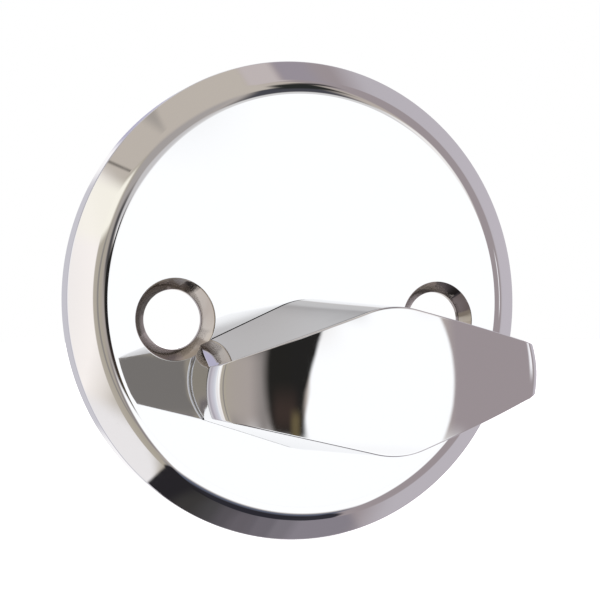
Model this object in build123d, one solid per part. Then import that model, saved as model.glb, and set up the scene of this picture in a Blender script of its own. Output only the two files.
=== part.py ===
"""Thumb turn: round bevelled rosette, finger grip with journal, bush, end-play
washers, retaining ring, square spindle and its cross pin.

Millimetres. +X is to the right and +Z up on the door, the front looks along -Y.
The origin is where the spindle's axis meets the door's surface.
"""
import math
import os

from build123d import *

# Sizes of the rosette
rosette_d = 55.0          # outside diameter
rosette_z = 8.5           # height of its centre above the spindle axis
rosette_t = 5.3           # thickness, door to face
rim_wall_h = 2.9          # height of the plain side wall
bevel_run = 3.2           # radial width of the bevel up to the face's plane
bevel_top_r = 3.0         # rounding between bevel and face
rim_break = 0.25          # edge break between side wall and bevel
pan_wall_t = 1.9          # metal left in front of the hollow back
pan_rim_t = 3.1           # radial metal left at the side wall
pan_corner_r = 0.8

# Sizes of the fixing holes, for M5 countersunk screws
screw_pitch = 32.0        # centre to centre, level
screw_z = 6.2             # height of the hole line above the spindle axis
screw_hole_d = 6.6
screw_sink_d = 9.0        # countersink at the face
screw_lip_r = 0.2

# Sizes at the spindle axis and the hub
grip_turn = 3.1           # degrees the grip is turned from level, as drawn
journal_d = 10.0
journal_tail = 8.0        # how far the journal runs behind the door's surface
journal_chamfer = 0.6     # at its tail end
run_fit = 0.10            # running clearance on the diameter
bush_wall = 1.0           # radial
bush_od = journal_d + 2 * bush_wall
bush_flange_w = 1.0       # how far the flange stands out beyond the bush
grip_gap = 0.4            # between rosette face and grip, filled by the flange
flange_play = 0.03
seat_room = 3.8           # radial room round the journal for washers and ring
seat_d = journal_d + 2 * seat_room    # counterbore for them, from the back
hub_wall = 1.6            # radial metal round the counterbore
seat_depth = 2.7

# Sizes of the washers and the ring
wave_id = journal_d + 0.4
wave_od = wave_id + 4.2
wave_t = 0.25
wave_h = 0.85             # fitted height
wave_count = 3
backing_t = 0.5
backing_fit = 0.3         # clearance of its hole on the journal, on the diameter
backing_od = wave_od + 0.4
ring_t = 1.0
ring_groove_d = journal_d - 0.4
ring_groove_w = 1.1
ring_band = 1.7           # radial width of the ring opposite its gap
ring_end_w = 1.1          # and beside its lugs
ring_lug_r = 1.45
ring_lug_hole_d = 1.2     # for the points of the pliers
ring_lug_hole_out = 0.1   # how far the hole's centre lies beyond the lug's
ring_gap_deg = 46.0       # angle between the two lugs
ring_gap_inset_deg = 8.0  # angle from a lug's centre to the gap's side
ring_play = 0.02          # radial, between the ring and the groove's floor
wave_play = 0.012         # between a crest of the wave washer and what it touches

# Sizes of the spindle and its pin
spindle_side = 5.0
spindle_fit = 0.10        # clearance of the square hole on the side
spindle_in = 13.0         # length in front of the door's surface
spindle_out = 40.0        # length behind it
spindle_chamfer = 0.6
pin_d = 2.0
pin_chamfer = 0.2
pin_short = 0.2           # how much shorter it is than the journal is wide
pin_y = 5.0               # distance of the pin behind the door's surface

# Sizes of the grip
# heights are above the grip's flat base, lengths from the spindle axis
grip_h = 22.4             # crest
grip_crown_r = 50.0       # curve of the front, end to end
grip_cross_r = 80.0       # and its much flatter curve from ridge to ridge
base_peak = 9.2           # sharp half-width at the axis, at the base
base_slope_deg = 21.2     # how much the long sides close towards the ends
base_end = 13.1           # corner of the end
base_nose = 1.35          # how far the end bows out beyond its corners
top_level = grip_h + 2.1  # the section below is drawn at this height
top_peak = 7.61
top_slope_deg = 16.2
top_end = 19.6
top_nose = 0.04
peak_r = 9.0              # rounding of the two long ridges
tip_r = 2.0               # rounding of the tips
edge_r = 0.25             # edge break all round the front and the base

os.makedirs("parts", exist_ok=True)

rosette_r = rosette_d / 2
base_y = -(rosette_t + grip_gap)
seat_y = -seat_depth


def as_drawn(shape):
    """Turn a shape about the spindle axis to the position drawn."""
    return Rot(0, -grip_turn, 0) * shape


def rod(d, y0, y1):
    """Cylinder about the Y axis from y0 to y1."""
    return Pos(0, y0, 0) * Rot(-90, 0, 0) * Cylinder(
        d / 2, y1 - y0, align=(Align.CENTER, Align.CENTER, Align.MIN))


def turned(points, fillets=()):
    """Solid of revolution about Y from (radius, y) points.

    fillets holds (point index, radius) pairs for corners of the outline.
    """
    outline = Polyline(*[(r, y) for r, y in points], close=True)
    face = make_face(outline)
    for index, radius in fillets:
        r, y = points[index]
        corner = min(face.vertices(), key=lambda v: (v.X - r) ** 2 + (v.Y - y) ** 2)
        face = fillet(corner, radius)
    return revolve(face, Axis.Y)


# The rosette
pan_r = rosette_r - pan_rim_t
pan_y = -(rosette_t - pan_wall_t)
body = Pos(0, 0, rosette_z) * turned(
    [(0, pan_y), (pan_r, pan_y), (pan_r, 0), (rosette_r, 0), (rosette_r, -rim_wall_h),
     (rosette_r - bevel_run, -rosette_t), (0, -rosette_t)],
    fillets=[(5, bevel_top_r), (4, rim_break), (1, pan_corner_r)])

screws = [(-screw_pitch / 2, screw_z), (screw_pitch / 2, screw_z)]
body += rod(seat_d + 2 * hub_wall, pan_y - 0.5, 0)

sink_depth = (screw_sink_d - screw_hole_d) / 2
for x, z in screws:
    cut = turned(
        [(0, 1), (screw_hole_d / 2, 1), (screw_hole_d / 2, sink_depth - rosette_t),
         (screw_sink_d / 2, -rosette_t), (screw_sink_d / 2, -rosette_t - 1),
         (0, -rosette_t - 1)])
    body -= Pos(x, 0, z) * cut
body -= rod(bush_od, -rosette_t - 1, 1)
body -= rod(seat_d, seat_y, 1)

lips = [e for e in body.edges().filter_by(GeomType.CIRCLE)
        if abs(e.radius - screw_sink_d / 2) < 1e-3 and abs(e.center().Y + rosette_t) < 1e-3]
rosette = fillet(lips, screw_lip_r)

# The bush
bearing_bush = turned(
    [((journal_d + run_fit) / 2, seat_y), (bush_od / 2, seat_y), (bush_od / 2, -rosette_t),
     (bush_od / 2 + bush_flange_w, -rosette_t), (bush_od / 2 + bush_flange_w, base_y + flange_play),
     ((journal_d + run_fit) / 2, base_y + flange_play)])


# The grip
def grip_section(peak, slope, end, nose, height):
    """Closed outline of the grip at a height: two ridges and two bowed ends."""
    k = math.tan(math.radians(slope))
    c, s = math.cos(math.radians(slope)), math.sin(math.radians(slope))
    corner = peak - k * end
    t = peak_r * math.tan(math.radians(slope))
    px, pz = t * c, peak - t * s                 # where the ridge's rounding starts
    top = peak - peak_r * (1 / c - 1)            # highest point of the rounding
    edges = [
        ThreePointArc((end, -corner), (end + nose, 0), (end, corner)),
        Line((end, corner), (px, pz)),
        ThreePointArc((px, pz), (0, top), (-px, pz)),
        Line((-px, pz), (-end, corner)),
        ThreePointArc((-end, corner), (-end - nose, 0), (-end, -corner)),
        Line((-end, -corner), (-px, -pz)),
        ThreePointArc((-px, -pz), (0, -top), (px, -pz)),
        Line((px, -pz), (end, -corner)),
    ]
    plane = Plane(origin=(0, base_y - height, 0), x_dir=(1, 0, 0), z_dir=(0, -1, 0))
    return plane * make_face(edges)


blank = loft([grip_section(base_peak, base_slope_deg, base_end, base_nose, 0),
              grip_section(top_peak, top_slope_deg, top_end, top_nose, top_level)], ruled=True)
mid_y = base_y - grip_h + grip_cross_r             # axis of the cross curve
reach = 1.2 * top_end
drop = grip_crown_r - math.sqrt(grip_crown_r ** 2 - reach ** 2)
crown_arc = ThreePointArc((-reach, mid_y - grip_cross_r + drop), (0, mid_y - grip_cross_r),
                          (reach, mid_y - grip_cross_r + drop))
crown_face = make_face([crown_arc, Polyline(
    (reach, mid_y - grip_cross_r + drop), (reach, mid_y), (-reach, mid_y),
    (-reach, mid_y - grip_cross_r + drop))])
crown = revolve(crown_face, Axis((0, mid_y, 0), (1, 0, 0)))
wing = blank & crown

tips = [e for e in wing.edges()
        if abs(e.center().X) > 0.8 * top_end and e.center().Y < base_y - 0.45 * grip_h
        and e.bounding_box().size.Z > 0.2 * top_peak and e.bounding_box().size.Y < 0.25 * top_peak]
wing = fillet(tips, tip_r)
border = [e for e in wing.edges() if e.center().Y > base_y - 0.01 or (
    e.center().Y < base_y - 0.53 * grip_h and abs(e.center().Z) > 0.13 * top_peak)]
wing = fillet(border, edge_r)

journal = rod(journal_d, base_y - 0.5, journal_tail)
journal = chamfer(journal.faces().sort_by(Axis.Y)[-1].edges(), journal_chamfer)
grip = wing + journal
groove_y = seat_y + wave_h + backing_t
grip -= rod(journal_d + 4, groove_y, groove_y + ring_groove_w) - rod(
    ring_groove_d, groove_y - 1, groove_y + ring_groove_w + 1)
hole = spindle_side + spindle_fit
grip -= Pos(0, journal_tail + 1, 0) * Box(
    hole, journal_tail + 1 + spindle_in + 0.5, hole,
    align=(Align.CENTER, Align.MAX, Align.CENTER))
pin_length = journal_d - pin_short
pin_hole = Pos(0, pin_y, 0) * Rot(0, 90, 0) * Cylinder(pin_d / 2, journal_d + 2)
grip -= pin_hole
turn_grip = as_drawn(grip)

# The wave washer, the backing washer and the retaining ring
wave_mid_y = seat_y + wave_h / 2
wave_swing = (wave_h - wave_t) / 2 - wave_play
grid = 16                                         # half the points across the sheet
cell = (wave_od / 2 + 0.6) / grid


def wave_point(i, j):
    """Point of the washer's lower surface: even waves at the band, flat at the middle."""
    x, z = i * cell, j * cell
    r = math.hypot(x, z)
    fade = min(1.0, (r / (wave_id / 2 - 1)) ** 3) if r else 0.0
    y = wave_mid_y - wave_t / 2 + wave_swing * fade * math.cos(
        wave_count * math.atan2(z, x))
    return Vector(x, y, z)


sheet = Face.make_surface_from_array_of_points(
    [[wave_point(i, j) for j in range(-grid, grid + 1)] for i in range(-grid, grid + 1)])
band = rod(wave_od, seat_y - 1, seat_y + wave_h + 1) - rod(
    wave_id, seat_y - 2, seat_y + wave_h + 2)
wave_washer = extrude(sheet, wave_t, dir=(0, 1, 0)) & band

backing_y = seat_y + wave_h
backing_washer = as_drawn(rod(backing_od, backing_y, backing_y + backing_t)
                         - rod(journal_d + backing_fit, backing_y - 1, backing_y + 2))

ring_y = groove_y + (ring_groove_w - ring_t) / 2
inner_r = ring_groove_d / 2 + ring_play
outer_c = -(ring_band - ring_end_w) / 2          # the band is wider opposite the gap
ring = Pos(0, ring_y, outer_c) * Rot(-90, 0, 0) * Cylinder(
    inner_r + ring_band + outer_c, ring_t,
    align=(Align.CENTER, Align.CENTER, Align.MIN))
lug_at = inner_r + ring_lug_r
for side in (-1, 1):
    a = math.radians(90 + side * ring_gap_deg / 2)
    ring += Pos(lug_at * math.cos(a), 0, lug_at * math.sin(a)) * rod(
        2 * ring_lug_r, ring_y, ring_y + ring_t)
ring -= rod(2 * inner_r, ring_y - 1, ring_y + ring_t + 1)
half = math.radians(ring_gap_deg / 2 - ring_gap_inset_deg)
ring_reach = 0.7 * seat_d
gap_plane = Plane(origin=(0, ring_y - 1, 0), x_dir=(1, 0, 0), z_dir=(0, 1, 0))
wedge = make_face(Polyline((0, 0), (ring_reach * math.sin(half), -ring_reach * math.cos(half)),
                           (-ring_reach * math.sin(half), -ring_reach * math.cos(half)),
                           close=True))
ring -= gap_plane * extrude(wedge, ring_t + 2)
for side in (-1, 1):
    a = math.radians(90 + side * ring_gap_deg / 2)
    hole_at = lug_at + ring_lug_hole_out
    ring -= Pos(hole_at * math.cos(a), 0, hole_at * math.sin(a)) * rod(
        ring_lug_hole_d, ring_y - 1, ring_y + ring_t + 1)
retaining_ring = as_drawn(ring)

# The spindle and its pin
bar = Pos(0, spindle_out, 0) * Box(spindle_side, spindle_in + spindle_out, spindle_side,
                                   align=(Align.CENTER, Align.MAX, Align.CENTER))
bar = chamfer(bar.faces().sort_by(Axis.Y)[-1].edges(), spindle_chamfer)
spindle = as_drawn(bar - pin_hole)
pin = Pos(0, pin_y, 0) * Rot(0, 90, 0) * Cylinder(pin_d / 2, pin_length)
cross_pin = as_drawn(chamfer(pin.edges().filter_by(GeomType.CIRCLE), pin_chamfer))

nodes = {
    "rosette": rosette, "turn_grip": turn_grip, "bearing_bush": bearing_bush,
    "wave_washer": wave_washer, "backing_washer": backing_washer,
    "retaining_ring": retaining_ring, "spindle": spindle, "cross_pin": cross_pin,
}
for name, shape in nodes.items():
    export_step(shape, f"parts/{name}.step")
    box = shape.bounding_box()
    print(name, round(shape.volume, 2), len(shape.solids()),
          tuple(round(v, 2) for v in box.min), tuple(round(v, 2) for v in box.max))
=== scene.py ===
"""Looks of a thumb turn: mirror-chromed rosette and finger grip, bush, washers,
retaining ring, spindle and cross pin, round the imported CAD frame."""

import math

import bpy
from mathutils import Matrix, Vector


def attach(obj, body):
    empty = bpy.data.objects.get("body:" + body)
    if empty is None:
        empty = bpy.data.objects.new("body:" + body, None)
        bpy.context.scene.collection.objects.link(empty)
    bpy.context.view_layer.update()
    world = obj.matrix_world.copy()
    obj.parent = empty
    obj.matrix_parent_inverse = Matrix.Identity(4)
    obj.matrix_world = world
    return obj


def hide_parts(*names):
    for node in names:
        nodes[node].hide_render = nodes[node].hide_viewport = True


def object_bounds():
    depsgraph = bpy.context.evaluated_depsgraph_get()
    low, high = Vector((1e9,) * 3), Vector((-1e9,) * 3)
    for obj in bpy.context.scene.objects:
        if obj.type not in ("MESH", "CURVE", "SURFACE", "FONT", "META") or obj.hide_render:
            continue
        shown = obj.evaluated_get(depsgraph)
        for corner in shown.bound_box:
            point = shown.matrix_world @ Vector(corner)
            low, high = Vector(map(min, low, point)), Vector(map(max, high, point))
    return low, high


bl_info = {
    "name": "Thumb turn",
    "version": (1, 0, 0),
    "blender": (4, 5, 0),
    "location": "3D View > Sidebar > Thumb turn",
    "description": "Builds the looks of a chromed thumb turn round its CAD frame",
    "category": "Object",
}

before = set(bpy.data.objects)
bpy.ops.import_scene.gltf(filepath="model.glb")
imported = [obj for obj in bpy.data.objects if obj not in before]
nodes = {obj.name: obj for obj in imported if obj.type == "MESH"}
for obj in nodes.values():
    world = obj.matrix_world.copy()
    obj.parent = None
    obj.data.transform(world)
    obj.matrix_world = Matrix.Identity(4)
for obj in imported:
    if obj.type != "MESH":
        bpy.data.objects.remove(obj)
cad_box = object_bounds()
MM = 0.001                # a millimetre, in metres


# Sizes and colours a user would change
def length(name, default_mm, description):
    """Property for a length, with its default in millimetres."""
    return bpy.props.FloatProperty(name=name, description=description,
                                   default=default_mm * MM, unit="LENGTH", precision=5)


def hexcode(name, default, description):
    """Property for an sRGB hex colour."""
    return bpy.props.StringProperty(name=name, description=description, default=default)


class RosetteSizes(bpy.types.PropertyGroup):
    diameter: length("Diameter", 55.0, "Outside diameter of the rosette")
    centre_z: length("Centre height", 8.5, "Height of its centre above the spindle axis")
    thickness: length("Thickness", 5.3, "From the door to the face")
    wall: length("Side wall", 2.9, "Height of the plain side wall")
    bevel: length("Bevel", 3.2, "Radial width of the bevel")
    bevel_round: length("Bevel rounding", 3.0, "Rounding between bevel and face")
    rim_break: length("Rim break", 0.25, "Edge break between side wall and bevel")
    screw_pitch: length("Screw pitch", 32.0, "Distance between the fixing holes")
    screw_z: length("Screw height", 6.2, "Height of the holes above the spindle axis")
    hole: length("Screw hole", 6.6, "Diameter of the fixing holes")
    sink: length("Countersink", 9.0, "Diameter of the countersinks at the face")
    lip: length("Lip", 0.25, "Rounding of the countersinks' lips")


class GripSizes(bpy.types.PropertyGroup):
    height: length("Height", 22.4, "Crest above the grip's flat base")
    gap: length("Gap", 0.4, "Between the rosette's face and the grip")
    crown: length("Crown radius", 50.0, "Curve of the front from end to end")
    cross: length("Cross radius", 80.0, "Curve of the front from ridge to ridge")
    tip_round: length("Tip rounding", 2.0, "Rounding of the two tips")
    edge_round: length("Edge rounding", 0.15, "Rounding of the edges of the front")
    turn: bpy.props.FloatProperty(name="Turn", description="How far it is turned from level",
                                  default=math.radians(3.1), subtype="ANGLE")


class FinishColours(bpy.types.PropertyGroup):
    chrome: hexcode("Chrome", "#D2D3D5", "Bright chrome plate")
    # Darker than the chrome: this colour is partly painted shade for the insides of the countersinks
    cut: hexcode("Cut chrome, shade painted in", "#A8A29D", "Plated as cut, in the countersinks")
    cast: hexcode("Cast back", "#A9A8A5", "Plated die casting, not buffed")
    bush: hexcode("Bush", "#17171A", "Black acetal")
    steel: hexcode("Steel", "#B9B7B0", "Zinc-plated steel")
    spring: hexcode("Spring steel", "#5A5650", "Tempered spring steel")
    backdrop: hexcode("Backdrop", "#FFFFFF", "Floor and backdrop")


# Materials
def linear(code):
    """Linear RGBA of an sRGB hex colour."""
    parts = [int(code[i:i + 2], 16) / 255 for i in (1, 3, 5)]
    return [c / 12.92 if c <= 0.04045 else ((c + 0.055) / 1.055) ** 2.4 for c in parts] + [1.0]


def darker(code, share):
    """Linear RGBA of a share of a colour's light."""
    return [c * share for c in linear(code)[:3]] + [1.0]


def add(tree, kind, settings=None):
    """Add a node. The settings give its properties and inputs, by name or number, a
    value or the output of another node."""
    node = tree.nodes.new(kind)
    for key, value in (settings or {}).items():
        if isinstance(value, bpy.types.NodeSocket):
            tree.links.new(value, node.inputs[key])
        elif isinstance(key, str) and hasattr(node, key):
            setattr(node, key, value)
        else:
            node.inputs[key].default_value = value
    return node


def calc(tree, operation, *values):
    """Result of a math operation on numbers or outputs of other nodes."""
    settings = {"operation": operation, **dict(enumerate(values))}
    return add(tree, "ShaderNodeMath", settings).outputs[0]


def noise(tree, place, size, **settings):
    """Noise with swells of a size in metres."""
    return add(tree, "ShaderNodeTexNoise", {"Scale": 1 / size, "Vector": place, **settings}).outputs["Fac"]


def spread(tree, value, low, high, start=0.0, stop=1.0):
    """Map a value from start..stop to low..high."""
    return add(tree, "ShaderNodeMapRange", {"Value": value, "From Min": start, "From Max": stop,
                                            "To Min": low, "To Max": high}).outputs["Result"]


def mix(tree, share, first, second):
    """Blend of two colours, by the share of the second."""
    return add(tree, "ShaderNodeMix", {"data_type": "RGBA", 0: share, 6: first, 7: second}).outputs[2]


def bump(tree, height, strength, depth):
    """Normal bent by a height, whose full swing is the depth in metres."""
    return add(tree, "ShaderNodeBump", {"Height": height, "Strength": strength,
                                        "Distance": depth}).outputs["Normal"]


def shade(tree, settings):
    """Principled shader at the material's output."""
    shader = add(tree, "ShaderNodeBsdfPrincipled", settings)
    add(tree, "ShaderNodeOutputMaterial", {"Surface": shader.outputs["BSDF"]})


def ramp(node, stops):
    """Set a colour ramp's stops from (position, hex colour) pairs."""
    elements = node.color_ramp.elements
    while len(elements) > 1:
        elements.remove(elements[-1])
    elements[0].position, elements[0].color = stops[0][0], linear(stops[0][1])
    for position, code in stops[1:]:
        elements.new(position).color = linear(code)
    return node


def new_material(name):
    """Empty node material, its node tree and the coordinates of the object."""
    material = bpy.data.materials.new(name)
    material.use_nodes = True
    tree = material.node_tree
    tree.nodes.clear()
    return material, tree, add(tree, "ShaderNodeTexCoord").outputs["Object"]


def polished_chrome(name, colour):
    """Decorative chrome on a buffed zinc casting: a hard mirror, very slightly wavy
    from buffing, with faint wipe marks that only show in the highlights."""
    material, tree, place = new_material(name)
    swell = noise(tree, place, 9 * MM, Detail=1.0)
    wipes = noise(tree, place, 1.2 * MM, Detail=4.0, Roughness=0.6)
    shade(tree, {"Base Color": linear(colour), "Metallic": 1.0,
                 "Roughness": spread(tree, wipes, 0.02, 0.05, start=0.35, stop=0.75),
                 "Normal": bump(tree, swell, strength=0.02, depth=0.1 * MM)})
    return material


def drawn_steel(name, colour, roughness):
    """Cold-drawn or stamped steel, zinc-plated or tempered: satin, with fine grain
    along the piece and a slightly uneven tone."""
    material, tree, place = new_material(name)
    thin, long = 0.25 * MM, 6 * MM                       # the grain across and along
    drawn = add(tree, "ShaderNodeMapping", {"Scale": (1 / thin, 1 / long, 1 / thin), "Vector": place})
    grain = noise(tree, drawn.outputs[0], 1.0, Detail=3.0)
    cloud = noise(tree, place, 4 * MM, Detail=3.0)
    shade(tree, {"Base Color": mix(tree, cloud, linear(colour), darker(colour, 0.72)),
                 "Metallic": 1.0,
                 "Roughness": spread(tree, grain, roughness - 0.08, roughness + 0.12),
                 "Normal": bump(tree, grain, strength=0.25, depth=0.02 * MM)})
    return material


def machined_plate(name, colour, axis_x, axis_z):
    """Countersink or journal cut by a tool and plated as it was: fine rings round the
    hole's axis that break up the mirror. An axis beside the middle has its mirrored
    twin. The rings are drawn 0.16 mm apart to show."""
    material, tree, place = new_material(name)
    ring_pitch = 0.16 * MM
    split = add(tree, "ShaderNodeSeparateXYZ", {0: place})
    x = split.outputs["X"]
    if axis_x:
        x = calc(tree, "SUBTRACT", calc(tree, "ABSOLUTE", x), axis_x)
    z = calc(tree, "SUBTRACT", split.outputs["Z"], axis_z)
    flat = add(tree, "ShaderNodeCombineXYZ", {"X": x, "Z": z})
    reach = add(tree, "ShaderNodeVectorMath", {"operation": "LENGTH", 0: flat.outputs[0]})
    deep = calc(tree, "SUBTRACT", reach.outputs["Value"], split.outputs["Y"])
    rings = calc(tree, "SINE", calc(tree, "MULTIPLY", deep, 2 * math.pi / ring_pitch))
    chatter = noise(tree, place, 0.5 * MM, Detail=3.0)
    shade(tree, {"Base Color": linear(colour), "Metallic": 1.0,
                 "Roughness": spread(tree, chatter, 0.02, 0.05),
                 "Normal": bump(tree, rings, strength=0.07, depth=0.02 * MM)})
    return material


def cast_plate(name, colour):
    """Back of a zinc die casting, flash-plated but never buffed: a dull satin with the
    fine skin of the mould and slow flow marks. The skin's grain is 0.25 mm."""
    material, tree, place = new_material(name)
    skin = noise(tree, place, 0.25 * MM, Detail=5.0, Roughness=0.6)
    flow = noise(tree, place, 7 * MM, Detail=4.0, Distortion=1.4)
    shade(tree, {"Base Color": mix(tree, flow, linear(colour), darker(colour, 0.7)),
                 "Metallic": 1.0,
                 "Roughness": spread(tree, flow, 0.28, 0.5),
                 "Normal": bump(tree, skin, strength=0.3, depth=0.03 * MM)})
    return material


def matt_paint(name, colour):
    """Matt white paint on the studio floor: even and without sheen, kept near white."""
    material, tree, place = new_material(name)
    roll = noise(tree, place, 3 * MM, Detail=2.0)
    shade(tree, {"Base Color": linear(colour), "Roughness": 0.9,
                 "Emission Color": linear(colour), "Emission Strength": 0.75,
                 "Normal": bump(tree, roll, strength=0.05, depth=0.1 * MM)})
    return material


def turned_acetal(name, colour):
    """Black acetal turned from bar: dull sheen, with fine rings from the tool."""
    material, tree, place = new_material(name)
    ring_pitch = 0.3 * MM
    node_scale = 20                                      # the wave node's own factor
    rings = add(tree, "ShaderNodeTexWave", {"wave_type": "RINGS", "rings_direction": "Y",
                                            "Scale": 1 / ring_pitch / node_scale,
                                            "Distortion": 0.4, "Vector": place})
    shade(tree, {"Base Color": linear(colour), "IOR": 1.48,
                 "Roughness": spread(tree, rings.outputs["Fac"], 0.38, 0.5)})
    return material


# Modelling helpers
def deselect():
    """Leave edit mode and select nothing."""
    if bpy.context.object and bpy.context.object.mode != "OBJECT":
        bpy.ops.object.mode_set(mode="OBJECT")
    bpy.ops.object.select_all(action="DESELECT")


def close_mesh():
    """Fill the open borders of the mesh being edited, and turn its faces outwards."""
    bpy.ops.mesh.select_all(action="DESELECT")
    bpy.ops.mesh.select_non_manifold()
    bpy.ops.mesh.fill_holes(sides=0)
    bpy.ops.mesh.select_all(action="SELECT")
    bpy.ops.mesh.normals_make_consistent(inside=False)


def lathe(name, rings, segments, x=0.0, z=0.0):
    """Solid of revolution about an axis along Y: a circle extruded and scaled ring by
    ring through (radius, y) pairs in metres, and closed at both ends."""
    deselect()
    r, y = rings[0]
    bpy.ops.mesh.primitive_circle_add(vertices=segments, radius=r, fill_type="NOTHING",
                                      location=(x, y, z), rotation=(math.pi / 2, 0, 0))
    bpy.ops.object.transform_apply(location=True, rotation=True, scale=True)
    piece = bpy.context.object
    piece.name = piece.data.name = name
    bpy.ops.object.mode_set(mode="EDIT")
    bpy.ops.mesh.select_all(action="SELECT")
    for next_r, next_y in rings[1:]:
        bpy.ops.mesh.extrude_region_move(TRANSFORM_OT_translate={"value": (0, next_y - y, 0)})
        if abs(next_r - r) > 1e-9:
            k = next_r / r
            bpy.ops.transform.resize(value=(k, 1, k), center_override=(x, next_y, z))
        r, y = next_r, next_y
    close_mesh()
    bpy.ops.object.mode_set(mode="OBJECT")
    return piece


def sheet(name, rows, base_y):
    """Grid laid through rows of (x, z, w) points, w being the height above the base."""
    deselect()
    nx, ny = len(rows) - 1, len(rows[0]) - 1
    bpy.ops.mesh.primitive_grid_add(x_subdivisions=nx, y_subdivisions=ny, size=2)
    piece = bpy.context.object
    piece.name = piece.data.name = name
    for vertex in piece.data.vertices:
        i, j = round((vertex.co.x + 1) / 2 * nx), round((vertex.co.y + 1) / 2 * ny)
        x, z, w = rows[i][j]
        vertex.co = (x, base_y - w, z)
    return piece


def combine(piece, tool, operation):
    """Boolean the tool into the piece and drop the tool."""
    deselect()
    piece.select_set(True)
    bpy.context.view_layer.objects.active = piece
    bpy.ops.object.modifier_add(type="BOOLEAN")
    modifier = piece.modifiers[-1]
    modifier.operation, modifier.object, modifier.solver = operation, tool, "EXACT"
    bpy.ops.object.modifier_apply(modifier=modifier.name)
    bpy.data.objects.remove(tool)


def smooth(piece, angle):
    """Smooth shading with sharp edges over an angle, and large faces kept flat."""
    deselect()
    piece.select_set(True)
    bpy.context.view_layer.objects.active = piece
    bpy.ops.object.shade_smooth_by_angle(angle=math.radians(angle))
    bpy.ops.object.modifier_add(type="WEIGHTED_NORMAL")
    modifier = piece.modifiers[-1]
    modifier.keep_sharp, modifier.weight, modifier.mode = True, 100, "FACE_AREA"
    bpy.ops.object.modifier_apply(modifier=modifier.name)


def arc(cx, cy, r, start, end, steps):
    """Points (cx + r cos a, cy + r sin a) from start to end, degrees."""
    angles = [math.radians(start + (end - start) * i / steps) for i in range(steps + 1)]
    return [(cx + r * math.cos(a), cy + r * math.sin(a)) for a in angles]


def finish_piece(piece, materials, choose, body, node):
    """Give a piece its materials, each face the one that choose(centre, normal) names."""
    piece.data.materials.clear()
    for material in materials:
        piece.data.materials.append(material)
    for polygon in piece.data.polygons:
        polygon.material_index = choose(polygon.center, polygon.normal)
    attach(piece, body)
    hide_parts(node)


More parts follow.
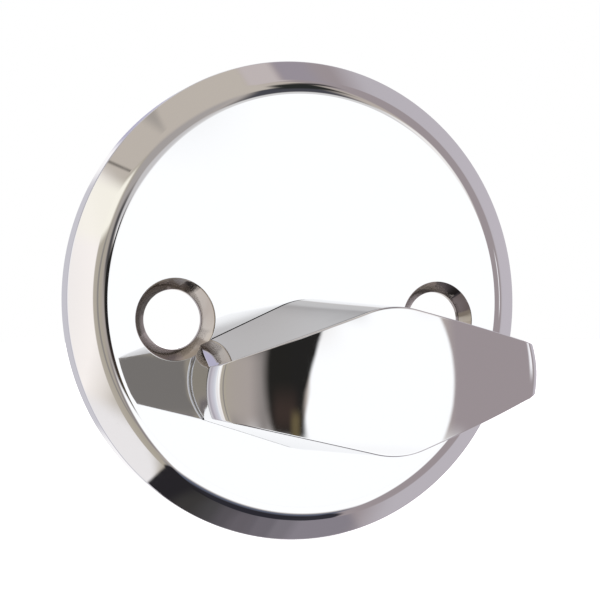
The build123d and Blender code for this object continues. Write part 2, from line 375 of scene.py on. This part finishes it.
# Operators, one for each piece or group
class THUMBTURN_OT_rosette(bpy.types.Operator):
    """Model the bevelled rosette with its countersunk holes and hollow back"""
    bl_idname = "thumbturn.rosette"
    bl_label = "Rosette"

    # hidden sizes, mm: metal left at the rim and behind the face, the hollow's rounding,
    # the hub and its sunk end, the bush's bore, the washers' seat, and the broken edges
    rim_left, face_left, pan_round = 3.1, 1.9, 0.8
    hub_r, hub_sunk = 10.4, 0.5
    bore_r, seat_r, seat_depth = 6.0, 8.8, 2.7
    edge_break = 0.15
    cutter_past = 1.0         # how far a cutter reaches past the face that it cuts

    def plate(self, s):
        """The rosette without its holes, and the radius and depth of its hollow back."""
        outer, t, foot = s.diameter / 2, s.thickness, self.edge_break * MM
        slope = math.atan2(t - s.wall, s.bevel)              # bevel against the face
        face_r = outer - s.bevel - s.bevel_round * math.tan(slope / 2)
        deg = math.degrees(slope)
        shoulder = arc(face_r, -t + s.bevel_round, s.bevel_round, deg - 90, -90, steps=14)
        rise = s.rim_break * math.tan((math.pi / 2 - slope) / 2)
        edge = arc(outer - s.rim_break, -s.wall + rise, s.rim_break, 0, deg - 90, steps=4)
        pan_r, pan_y = outer - self.rim_left * MM, -(t - self.face_left * MM)
        corner = self.pan_round * MM
        roof = arc(pan_r - corner, pan_y + corner, corner, -90, 0, steps=5)
        rim = [(pan_r, -foot), (pan_r + foot, 0), (outer - foot, 0), (outer, -foot)]
        piece = lathe("rosette_plate", roof + rim + edge + shoulder, segments=288, z=s.centre_z)
        hub_r = self.hub_r * MM
        hub = [(hub_r, pan_y - self.hub_sunk * MM), (hub_r, -foot), (hub_r - foot, 0)]
        combine(piece, lathe("hub", hub, segments=144), "UNION")
        return piece, pan_r, pan_y

    def drill(self, piece, s, pan_y):
        """Cut the two countersunk holes, with rounded lips, and the bush's stepped bore."""
        t, foot, past = s.thickness, self.edge_break * MM, self.cutter_past * MM
        hole_r, sink_r, lip = s.hole / 2, s.sink / 2, s.lip
        back = lip * math.tan(math.radians(45 / 2))
        neck = [(hole_r + foot, pan_y + past), (hole_r + foot, pan_y), (hole_r, pan_y - foot)]
        throat = arc(hole_r + lip, -(t - sink_r + hole_r) + back, lip, 180, 225, steps=4)
        rim = arc(sink_r + back, -t + lip, lip, 225, 270, steps=5)
        sink = neck + throat + rim + [(sink_r + back, -t - past)]
        for x in (-s.screw_pitch / 2, s.screw_pitch / 2):
            combine(piece, lathe("sink", sink, segments=96, x=x, z=s.screw_z), "DIFFERENCE")
        bore_r, seat_r, seat_y = self.bore_r * MM, self.seat_r * MM, -self.seat_depth * MM
        bore = [(bore_r, -t - past), (bore_r, seat_y), (seat_r, seat_y), (seat_r, -foot),
                (seat_r + foot, 0), (seat_r + foot, past)]
        combine(piece, lathe("bore", bore, segments=128), "DIFFERENCE")

    def execute(self, context):
        s, colours = context.scene.rosette_sizes, context.scene.finish_colours
        piece, pan_r, pan_y = self.plate(s)
        self.drill(piece, s, pan_y)
        smooth(piece, angle=28)
        near = 0.02 * MM
        bored_r, face_y = (self.seat_r + 0.2) * MM, -s.thickness + 0.05 * MM
        level, rearward = 0.98, 0.3                          # parts of the normal along Y

        def finish(p, n):
            """0 where polished, 1 in the countersinks, 2 at the back and in the bore."""
            beside = math.hypot(abs(p.x) - s.screw_pitch / 2, p.z - s.screw_z)
            if beside < s.sink / 2 + near and p.y < pan_y and abs(n.y) < level:
                return 1
            from_middle = math.hypot(p.x, p.z - s.centre_z)
            hidden = from_middle < pan_r + near and p.y > pan_y - self.hub_sunk * MM
            bored = math.hypot(p.x, p.z) < bored_r and p.y > face_y
            return 2 if n.y > rearward or hidden or bored else 0

        finish_piece(piece, [polished_chrome("polished chrome on rosette", colours.chrome),
                             # The countersinks' rings and roughness are the cut finish; their darker
                             # colour is painted shade
                             machined_plate("machined countersink, plated, shade painted in", colours.cut,
                                            s.screw_pitch / 2, s.screw_z),
                             cast_plate("die-cast back, flash-plated", colours.cast)], finish,
                     "rosette_body", "rosette")
        return {"FINISHED"}


class THUMBTURN_OT_grip(bpy.types.Operator):
    """Model the boat-shaped finger grip and its journal"""
    bl_idname = "thumbturn.grip"
    bl_label = "Finger grip"

    # sections at the base and above it: height, ridge, slope, end, nose (mm, degrees)
    base = (0.0, 9.2, 21.2, 13.1, 1.35)
    top = (24.5, 7.61, 16.2, 19.6, 0.04)
    ridge_round = 9.0
    tip_x, tip_w = 17.0, 18.0     # where a tip's width is taken, mm
    base_break = 0.4              # bevel round the base, mm

    # (radius, y) outline of the journal with its ring groove, mm, and its sunk end
    journal = ((5, -1.35), (4.8, -1.35), (4.8, -0.25), (5, -0.25), (5, 7.4), (4.4, 8))
    journal_r, journal_sunk = 5, 0.3
    hole_side, hole_ends = 5.1, (-13.5, 9.0)
    pin_r, pin_y, pin_cutter = 1.0, 5.0, 12.0

    def level(self, w):
        """Corners of the outline w above the base: ridge start, its width, end, end's width, nose."""
        k = w / (self.top[0] * MM)
        values = []
        for _, peak, slope, end, nose in (self.base, self.top):
            a = math.radians(slope)
            start = self.ridge_round * math.tan(a)
            values.append((start * math.cos(a), peak - start * math.sin(a),
                           end, peak - end * math.tan(a), nose))
        return [(a + (b - a) * k) * MM for a, b in zip(*values)]

    def flank(self, x, w):
        """Half-width of the grip at x and w."""
        px, pz, end, corner, _ = self.level(w)
        fall = (pz - corner) / (end - px)
        if abs(x) > px:
            return pz - (abs(x) - px) * fall
        r = px * math.sqrt(1 + fall * fall) / fall
        return pz - math.sqrt(r * r - px * px) + math.sqrt(r * r - x * x)

    def front(self, sizes, t, f):
        """Point (x, z, w) of the strip that runs up one end, over the front and down the
        other end: t is -3 and 3 at the base, -2..-1 and 1..2 at the tips; f is 1 at its border."""
        side, t = (1 if t >= 0 else -1), abs(t)
        r, crown = sizes.tip_round, sizes.crown
        _, _, end, _, nose = self.level(0)
        _, _, high_end, _, high_nose = self.level(self.top[0] * MM)
        foot = end + nose * (1 - f * f)
        lean = (high_end + high_nose * (1 - f * f) - foot) / (self.top[0] * MM)
        along = Vector((lean, 1)).normalized()
        out = Vector((along.y, -along.x))
        width = self.flank(self.tip_x * MM, self.tip_w * MM) * f
        dip = sizes.cross - math.sqrt(sizes.cross ** 2 - width ** 2)
        middle = Vector((0, sizes.height - dip - crown))     # centre of the front's curve
        start = Vector((foot, 0)) - out * r - middle
        b, c = start.dot(along), start.length_squared - (crown - r) ** 2
        run = -b + math.sqrt(b * b - c)
        hub = start + middle + along * run                   # centre of the tip's rounding
        if t >= 2:
            p = Vector((foot, 0)) + along * run * (3 - t)
        elif t >= 1:
            a0 = math.atan2((hub - middle).x, (hub - middle).y)
            a = a0 + (math.atan2(out.x, out.y) - a0) * (t - 1)
            p = hub + Vector((math.sin(a), math.cos(a))) * r
        else:
            x = (middle + (hub - middle) * crown / (crown - r)).x * t
            z = self.flank(x, sizes.height) * f
            rise = math.sqrt(crown ** 2 - x * x) - crown + sizes.cross
            p = Vector((x, sizes.height - sizes.cross + math.sqrt(rise ** 2 - z * z)))
        return Vector((side * p.x, self.flank(p.x, p.y) * f, p.y))

    def rounded(self, sizes, t, steps):
        """The sharp border at t rounded off: the points from the strip to the flank."""
        d, tiny = 1e-4, 0.01 * MM
        inside = Vector((0, 0, 10 * MM))
        edge = self.front(sizes, t, 1.0)
        lead = self.front(sizes, t + d, 1.0) - self.front(sizes, t - d, 1.0)
        over = (edge - self.front(sizes, t, 1.0 - d)).cross(lead).normalized()
        fall = (self.flank(edge.x + tiny, edge.z) - self.flank(edge.x - tiny, edge.z)) / (2 * tiny)
        draft = (self.flank(edge.x, edge.z) - self.flank(edge.x, edge.z - tiny)) / tiny
        side = Vector((-fall, 1, -draft)).normalized()
        if over.dot(edge - inside) < 0:
            over = -over
        hub = edge - (over + side) * sizes.edge_round / (1 + over.dot(side))
        return [hub + (over * (1 - i / steps) + side * (i / steps)).normalized() * sizes.edge_round
                for i in range(steps + 1)]

    def column(self, p, heights):
        """Points up the flank from the base to p on the border, in step with the heights."""
        ridge, _, end, _, _ = self.level(p.z)
        base_ridge, _, base_end, _, _ = self.level(0)
        reach = abs(p.x)
        if reach < ridge:
            foot = reach * base_ridge / ridge
        else:
            foot = base_ridge + (reach - ridge) / (end - ridge) * (base_end - base_ridge)
        foot = math.copysign(foot, p.x)
        points = []
        for h in heights[:-1]:
            w = p.z * h / heights[-1]
            x = foot + (p.x - foot) * w / p.z
            points.append(Vector((x, self.flank(x, w), w)))
        return points + [p]

    def wing(self, context, base_y):
        """The grip without its journal: a strip over the front and both ends, two flanks
        and the base, with the base's edge bevelled."""
        s = context.scene.grip_sizes
        # stations along the strip, up the end, round the tip and over the front, closer
        # together over the ridges' rounding in the middle, and shares of its width
        wall_steps, tip_steps, front_steps, ridge_steps, width_steps = 9, 16, 22, 18, 10
        ridge_share = 0.2274
        wall = [3 - i / wall_steps for i in range(wall_steps)]
        tip = [2 - i / tip_steps for i in range(tip_steps)]
        over = [1 - i / front_steps for i in range(front_steps)]
        over = [t for t in over if t > ridge_share]
        ridge = [ridge_share * (1 - i / ridge_steps) for i in range(ridge_steps)]
        half = wall + tip + over + ridge
        stations = half + [0.0] + [-t for t in reversed(half)]
        shares = [math.sin(math.radians(90 * i / width_steps))
                  for i in range(-width_steps, width_steps + 1)]
        band, border = [], []
        for t in stations:
            points = self.rounded(s, t, steps=5)
            kept = points[0].y / self.front(s, t, 1.0).y     # share of the strip left
            middle = [self.front(s, t, f * kept) for f in shares]
            for p, f in zip(middle, shares):
                p.y = points[0].y * f
            lower = [Vector((p.x, -p.y, p.z)) for p in points[:0:-1]]
            band.append(lower + middle + points[1:])
            border.append(points[-1])

        rim = len(wall) + len(tip)                           # stations up one end and its tip
        heights = [p.z for p in border[:rim + 1]]
        columns = [self.column(p, heights) for p in border[rim:len(stations) - rim]]
        columns = [border[:rim + 1]] + columns + [border[::-1][:rim + 1]]
        parts = [sheet("finger_grip", band, base_y)]
        for sign in (1, -1):
            rows = [[Vector((p.x, sign * p.y, p.z)) for p in column] for column in columns]
            parts.append(sheet("flank", rows, base_y))
        deselect()
        for part in parts:
            part.select_set(True)
        piece = parts[0]
        context.view_layer.objects.active = piece
        bpy.ops.object.join()
        bpy.ops.object.mode_set(mode="EDIT")
        bpy.ops.mesh.select_all(action="SELECT")
        bpy.ops.mesh.remove_doubles(threshold=0.001 * MM)
        close_mesh()
        bpy.ops.mesh.select_all(action="DESELECT")
        bpy.ops.object.mode_set(mode="OBJECT")
        corners, tolerance = piece.data.vertices, 1e-7
        for edge in piece.data.edges:
            edge.select = all(abs(corners[v].co.y - base_y) < tolerance for v in edge.vertices)
        bpy.ops.object.mode_set(mode="EDIT")
        bpy.ops.mesh.select_mode(type="EDGE")
        bpy.ops.mesh.bevel(offset=self.base_break * MM, segments=4, affect="EDGES")
        bpy.ops.mesh.select_all(action="SELECT")
        self.turn(s)
        bpy.ops.object.mode_set(mode="OBJECT")
        return piece

    def turn(self, s):
        """Turn what is selected about the spindle axis to where the grip stands."""
        bpy.ops.transform.rotate(value=s.turn, orient_axis="Y", center_override=(0, 0, 0))

    def drill(self, context, piece):
        """Cut the square hole for the spindle and the bore for the pin."""
        s = context.scene.grip_sizes
        start, stop = self.hole_ends
        deselect()
        bpy.ops.mesh.primitive_cube_add(size=1, location=(0, (start + stop) / 2 * MM, 0))
        hole = context.object
        bpy.ops.transform.resize(
            value=(self.hole_side * MM, (stop - start) * MM, self.hole_side * MM))
        self.turn(s)
        bpy.ops.object.transform_apply(location=True, rotation=True, scale=True)
        combine(piece, hole, "DIFFERENCE")
        deselect()
        bpy.ops.mesh.primitive_cylinder_add(
            vertices=48, radius=self.pin_r * MM, depth=self.pin_cutter * MM,
            location=(0, self.pin_y * MM, 0), rotation=(0, math.pi / 2, 0))
        bore = context.object
        bpy.ops.object.transform_apply(location=True, rotation=True, scale=True)
        self.turn(s)
        bpy.ops.object.transform_apply(location=True, rotation=True, scale=True)
        combine(piece, bore, "DIFFERENCE")

    def execute(self, context):
        s, colours = context.scene.grip_sizes, context.scene.finish_colours
        base_y = -(context.scene.rosette_sizes.thickness + s.gap)
        piece = self.wing(context, base_y)
        rings = [(self.journal_r * MM, base_y - self.journal_sunk * MM)]
        rings += [(r * MM, y * MM) for r, y in self.journal]
        combine(piece, lathe("journal", rings, segments=96), "UNION")
        self.drill(context, piece)
        smooth(piece, angle=30)
        turned_r, behind_y = (self.journal_r + 0.2) * MM, base_y + 0.02 * MM

        def finish(p, n):
            """0 on the grip, 1 on the journal behind it."""
            return int(p.y > behind_y and math.hypot(p.x, p.z) < turned_r)

        finish_piece(piece, [polished_chrome("polished chrome on grip", colours.chrome),
                             machined_plate("machined journal, plated", colours.cast, 0, 0)],
                     finish, "turn_body", "turn_grip")
        return {"FINISHED"}


class THUMBTURN_OT_inner_parts(bpy.types.Operator):
    """Give the bush, washers, ring, spindle and pin their finishes"""
    bl_idname = "thumbturn.inner_parts"
    bl_label = "Bush, washers, ring, spindle and pin"

    def execute(self, context):
        c = context.scene.finish_colours
        finishes = {
            "bearing_bush": turned_acetal("turned black acetal", c.bush),
            "wave_washer": drawn_steel("tempered spring steel", c.spring, roughness=0.32),
            "backing_washer": drawn_steel("zinc-plated washer steel", c.steel, roughness=0.3),
            "retaining_ring": drawn_steel("phosphated ring steel", c.spring, roughness=0.42),
            "spindle": drawn_steel("zinc-plated drawn steel", c.steel, roughness=0.28),
            "cross_pin": drawn_steel("ground pin steel", c.steel, roughness=0.2),
        }
        for name, material in finishes.items():
            node = nodes[name]
            node.data.materials.clear()
            node.data.materials.append(material)
        return {"FINISHED"}


class THUMBTURN_OT_studio(bpy.types.Operator):
    """Set up the pale floor, the backdrop, the soft surroundings and the camera"""
    bl_idname = "thumbturn.studio"
    bl_label = "Studio"

    # camera fitted to the photograph: degrees, millimetres, pixels for each millimetre,
    # where the rosette's middle lies in the square frame, and the frame's and the sensor's width
    azimuth, elevation = -21.45, -1.11
    distance, scale, centre = 160.0, 8.54, (294.8, 300.23)
    frame_px, sensor = 600, 36

    # floor and lamp, metres and watts
    floor_size, floor_back = 3.0, 0.4
    lamp_at, lamp_size, lamp_watts = (-0.25, -0.35, 0.55), 0.5, 1.5

    # strength at which chrome that mirrors a card once shows the card's own colour
    brightness = 1.54

    # what the chrome mirrors, by direction: degrees right of straight out from the
    # rosette and above the level. First the walls all round, then cards and gaps.
    walls = [(-180, "#DEDCDD"), (-152, "#BCB8BC"), (-137, "#A29CA4"), (-120, "#BFBAC1"), (-104, "#C3C1C9"),
             (-88, "#D2D3D9"), (-78, "#F2F3F4"), (-67, "#FCFBF9"), (-62.6, "#E8E4E2"), (-61.6, "#F5EEE9"),
             (-60.2, "#F8F1EC"), (-57, "#B0A89C"), (-30, "#A8A092"), (-14, "#A59C97"), (0, "#B4AAA2"),
             (38, "#B4AAA2"), (43, "#998F91"), (86, "#998F91"), (92, "#B4AEB3"), (113, "#BAB3BA"),
             (142, "#A5A0A5"), (163, "#EAE8E8"), (180, "#DEDCDD")]
    # from, to across; from, to up; softness across and up; slant; bow; colour.
    # A slant is what the level edges rise for each degree across, from the left side if
    # it is positive and from the right if not. A bow bends the sides, by that much of
    # the square of the height above bow_level.
    bow_level = -2.0
    cards = [(-75, 22, 40, 100, 8, 3, 0, 0, "#BAB1A7"),
             (-28, 13, 17, 42, 8, 8, 0, 0, "#A29C99"),
             (-62, -34, 19, 37, 5, 3, 0, 0, "#F6F1E4"),
             (-100, -75, 22, 60, 2, 5, 0, 0, "#8F8C90"),
             (-77, -69, 25, 43, 1.5, 3, 0, 0, "#FFFFFF"),
             (-178, -163, -30, 40, 2, 6, 0, 0, "#B7B5BB"),
             (160, 176, 5, 20, 2, 3, 0, 0, "#9F9CAF"),
             (-42.5, -35.5, -28, 17, 1, 3, 0, -0.02, "#8B8681"),
             (-130, -44, -130, -67, 3, 2, 0, 0, "#232123"),
             (-80, -48, -100, -57, 1, 2.5, -2.44, 0, "#E8E4E3"),
             (-22, -17, -36, -10, 4, 3, 0, 0, "#7F797A"),
             (-15, 46, -41, -12, 2.5, 4, 0, 0, "#FFFFFF"),
             (1, 42.4, -14, 13, 0.7, 1.5, 0, 0.033, "#FFFFFF"),
             (-1, 8, 5, 14, 5, 5, 0, 0, "#E9E5E2"),
             (11.5, 17.5, 9, 14, 2.5, 3, 0, 0, "#D9D8D7"),
             (-13, -9, -12.5, 8, 2.5, 2, 0, 0, "#837D7A"),
             (-17, -5, 4, 19, 4, 4, 0, 0, "#4A4849"),
             (-10.7, -2, -12.5, 7, 1.4, 1.5, 0, -0.02, "#232220"),
             (-4, -0.4, -12.5, 7, 1, 1.5, 0, 0, "#232221"),
             (-3, 6, -10.6, 2, 1.2, 1.5, 2.2, 0, "#232221"),
             (-8.5, -2.5, -11, -5, 1.5, 3, 0, 0, "#3A302C"),
             (-3.8, -1.6, -13.5, -8, 1, 1.5, 0, 0, "#62573F"),
             (-6, 13, 9.5, 21, 4, 2, 0, 0, "#C4C1C1"),
             (13, 42.5, 13, 21, 4, 2, 0, 0, "#D3D1D0"),
             (32, 42.5, 10, 22, 3, 3, 0, 0, "#EDE9E6"),
             (13.5, 30, 20.5, 42, 3, 2.5, 0, 0, "#46464C"),
             (20, 36, 34, 55, 2.5, 4, 0, 0, "#292B29"),
             (30, 48, 50, 57, 5, 3, 0, 0, "#333231"),
             (-56, -48.6, 58, 66, 1, 2, 0, 0, "#A09992"),
             (22, 60, 70, 100, 6, 3, 0, 0, "#BDB3B1"),
             (62, 80, 62, 82, 4, 4, 0, 0, "#968E95"),
             (-60, -54.5, 42.2, 42.9, 0.8, 0.5, 0, 0, "#6A645E"),
             (70.5, 75, -1, 9, 1, 1.5, 0, 0, "#F2F0F2"),
             (-26, 46, -54, -44, 4, 3.5, 0, 0, "#5E6474"),
             (-24, 44, -130, -51, 3, 4, 0, 0, "#2B2A30"),
             (-56, -20, -130, -60.4, 1, 0.8, 0.46, 0, "#272528"),
             (40, 88, -130, -64.8, 3, 1.5, -0.35, 0, "#302F35"),
             (-42, -24, -130, -70.5, 5, 1.2, -0.33, 0, "#3A3837"),
             (-28, -9, -130, -73.7, 7, 1, -0.2, 0, "#474546"),
             (-15, 6, -130, -75.1, 7, 1, -0.1, 0, "#565256"),
             (0, 30, -130, -75.4, 8, 0.8, 0, 0, "#635E63"),
             (26, 51, -130, -74.9, 8, 0.8, 0.1, 0, "#6C676D"),
             (48, 68, -130, -72.5, 5, 0.8, 0.24, 0, "#777278"),
             (64, 88, -130, -69.8, 4, 0.8, 0.62, 0, "#847E85")]

    def camera(self, context):
        """Camera at the photograph's viewing angle and distance."""
        a, e = math.radians(self.azimuth), math.radians(self.elevation)
        back = Vector((math.sin(a) * math.cos(e), -math.cos(a) * math.cos(e), math.sin(e)))
        right = Vector((math.cos(a), math.sin(a), 0))
        up = back.cross(right)
        px, py = self.centre
        middle = self.frame_px / 2
        aim = Vector((0, 0, context.scene.rosette_sizes.centre_z))
        aim += right * ((middle - px) / self.scale * MM) + up * ((py - middle) / self.scale * MM)
        bpy.ops.object.camera_add(location=aim + back * self.distance * MM)
        camera = context.object
        camera.rotation_mode = "QUATERNION"
        camera.rotation_quaternion = (-back).to_track_quat("-Z", "Y")
        camera.data.sensor_width = self.sensor
        camera.data.lens = self.scale * self.distance * self.sensor / self.frame_px
        camera.data.clip_start, camera.data.clip_end = 0.005, 20
        context.scene.camera = camera

    def card(self, tree, across, up, seen, values):
        """Lay a card over the colour seen so far, with soft sides."""
        left, right, low, high, soft_x, soft_y, slant, bow, code = values

        def edge(value, start, stop):
            return add(tree, "ShaderNodeMapRange", {"interpolation_type": "SMOOTHSTEP", "Value": value,
                                                    "From Min": start, "From Max": stop}).outputs[0]

        side, height = across, up
        if bow:
            off = calc(tree, "SUBTRACT", up, self.bow_level)
            side = calc(tree, "MULTIPLY_ADD", calc(tree, "MULTIPLY", off, off), bow, across)
        if slant:
            rise = calc(tree, "MULTIPLY_ADD", across, -slant, slant * (left if slant > 0 else right))
            height = calc(tree, "ADD", up, rise)
        mask = calc(tree, "MULTIPLY", edge(side, left - soft_x, left + soft_x),
                    edge(side, right + soft_x, right - soft_x))
        mask = calc(tree, "MULTIPLY", mask, edge(height, low - soft_y, low + soft_y))
        mask = calc(tree, "MULTIPLY", mask, edge(height, high + soft_y, high - soft_y))
        return mix(tree, mask, seen, linear(code))

    def surroundings(self, context):
        """World that the chrome mirrors, while the camera sees the plain backdrop."""
        world = bpy.data.worlds.new("studio")
        context.scene.world = world
        world.use_nodes = True
        tree = world.node_tree
        tree.nodes.clear()
        way = add(tree, "ShaderNodeTexCoord").outputs["Generated"]
        split = add(tree, "ShaderNodeSeparateXYZ", {0: way})
        degrees = 180 / math.pi
        forward = calc(tree, "MULTIPLY", split.outputs["Y"], -1.0)
        across = calc(tree, "MULTIPLY", calc(tree, "ARCTAN2", split.outputs["X"], forward), degrees)
        up = calc(tree, "MULTIPLY", calc(tree, "ARCSINE", split.outputs["Z"]), degrees)
        share = calc(tree, "MULTIPLY_ADD", across, 1 / 360, 0.5)
        seen = ramp(add(tree, "ShaderNodeValToRGB", {0: share}),
                    [((a + 180) / 360, code) for a, code in self.walls]).outputs[0]
        for values in self.cards:
            seen = self.card(tree, across, up, seen, values)
        mirrored = add(tree, "ShaderNodeBackground", {"Color": seen, "Strength": self.brightness})
        backdrop = linear(context.scene.finish_colours.backdrop)
        plain = add(tree, "ShaderNodeBackground", {"Color": backdrop, "Strength": 1.0})
        ray = add(tree, "ShaderNodeLightPath")
        both = add(tree, "ShaderNodeMixShader", {0: ray.outputs["Is Camera Ray"],
                                                 1: mirrored.outputs[0], 2: plain.outputs[0]})
        add(tree, "ShaderNodeOutputWorld", {"Surface": both.outputs[0]})

    def floor(self, context):
        """Pale floor below the part, kept out of what the chrome mirrors."""
        deselect()
        bpy.ops.mesh.primitive_plane_add(size=self.floor_size,
                                         location=(0, self.floor_back, cad_box[0][2]))
        floor = context.object
        floor.name = floor.data.name = "studio_floor"
        floor.visible_glossy = False
        floor.data.materials.append(matt_paint("matt white studio paint",
                                               context.scene.finish_colours.backdrop))

    def lamp(self, context):
        """Soft lamp at the upper left in front, kept out of what the chrome mirrors."""
        bpy.ops.object.light_add(type="AREA", location=self.lamp_at)
        lamp = context.object
        lamp.name = lamp.data.name = "soft_box"
        lamp.data.size, lamp.data.energy = self.lamp_size, self.lamp_watts
        lamp.rotation_euler = (-lamp.location).to_track_quat("-Z", "Y").to_euler()
        lamp.visible_glossy = False

    def execute(self, context):
        self.camera(context)
        self.surroundings(context)
        self.floor(context)
        self.lamp(context)
        context.scene.view_settings.view_transform = "Standard"
        return {"FINISHED"}


class THUMBTURN_PT_panel(bpy.types.Panel):
    """Lists the sizes, colours and steps in the sidebar"""
    bl_label = "Thumb turn"
    bl_idname = "THUMBTURN_PT_panel"
    bl_space_type = "VIEW_3D"
    bl_region_type = "UI"
    bl_category = "Thumb turn"

    def draw(self, context):
        scene = context.scene
        for group in (scene.rosette_sizes, scene.grip_sizes, scene.finish_colours):
            box = self.layout.box()
            for name in group.__annotations__:
                box.prop(group, name)
        for step in STEPS:
            self.layout.operator(step.bl_idname)


GROUPS = (RosetteSizes, GripSizes, FinishColours)
STEPS = (THUMBTURN_OT_rosette, THUMBTURN_OT_grip, THUMBTURN_OT_inner_parts, THUMBTURN_OT_studio)


def register():
    for cls in GROUPS + STEPS + (THUMBTURN_PT_panel,):
        bpy.utils.register_class(cls)
    bpy.types.Scene.rosette_sizes = bpy.props.PointerProperty(type=RosetteSizes)
    bpy.types.Scene.grip_sizes = bpy.props.PointerProperty(type=GripSizes)
    bpy.types.Scene.finish_colours = bpy.props.PointerProperty(type=FinishColours)


def unregister():
    for name in ("rosette_sizes", "grip_sizes", "finish_colours"):
        delattr(bpy.types.Scene, name)
    for cls in (THUMBTURN_PT_panel,) + STEPS[::-1] + GROUPS[::-1]:
        bpy.utils.unregister_class(cls)


def main():
    register()
    bpy.ops.thumbturn.rosette()
    bpy.ops.thumbturn.grip()
    bpy.ops.thumbturn.inner_parts()
    bpy.ops.thumbturn.studio()


if __name__ == "__main__":
    main()
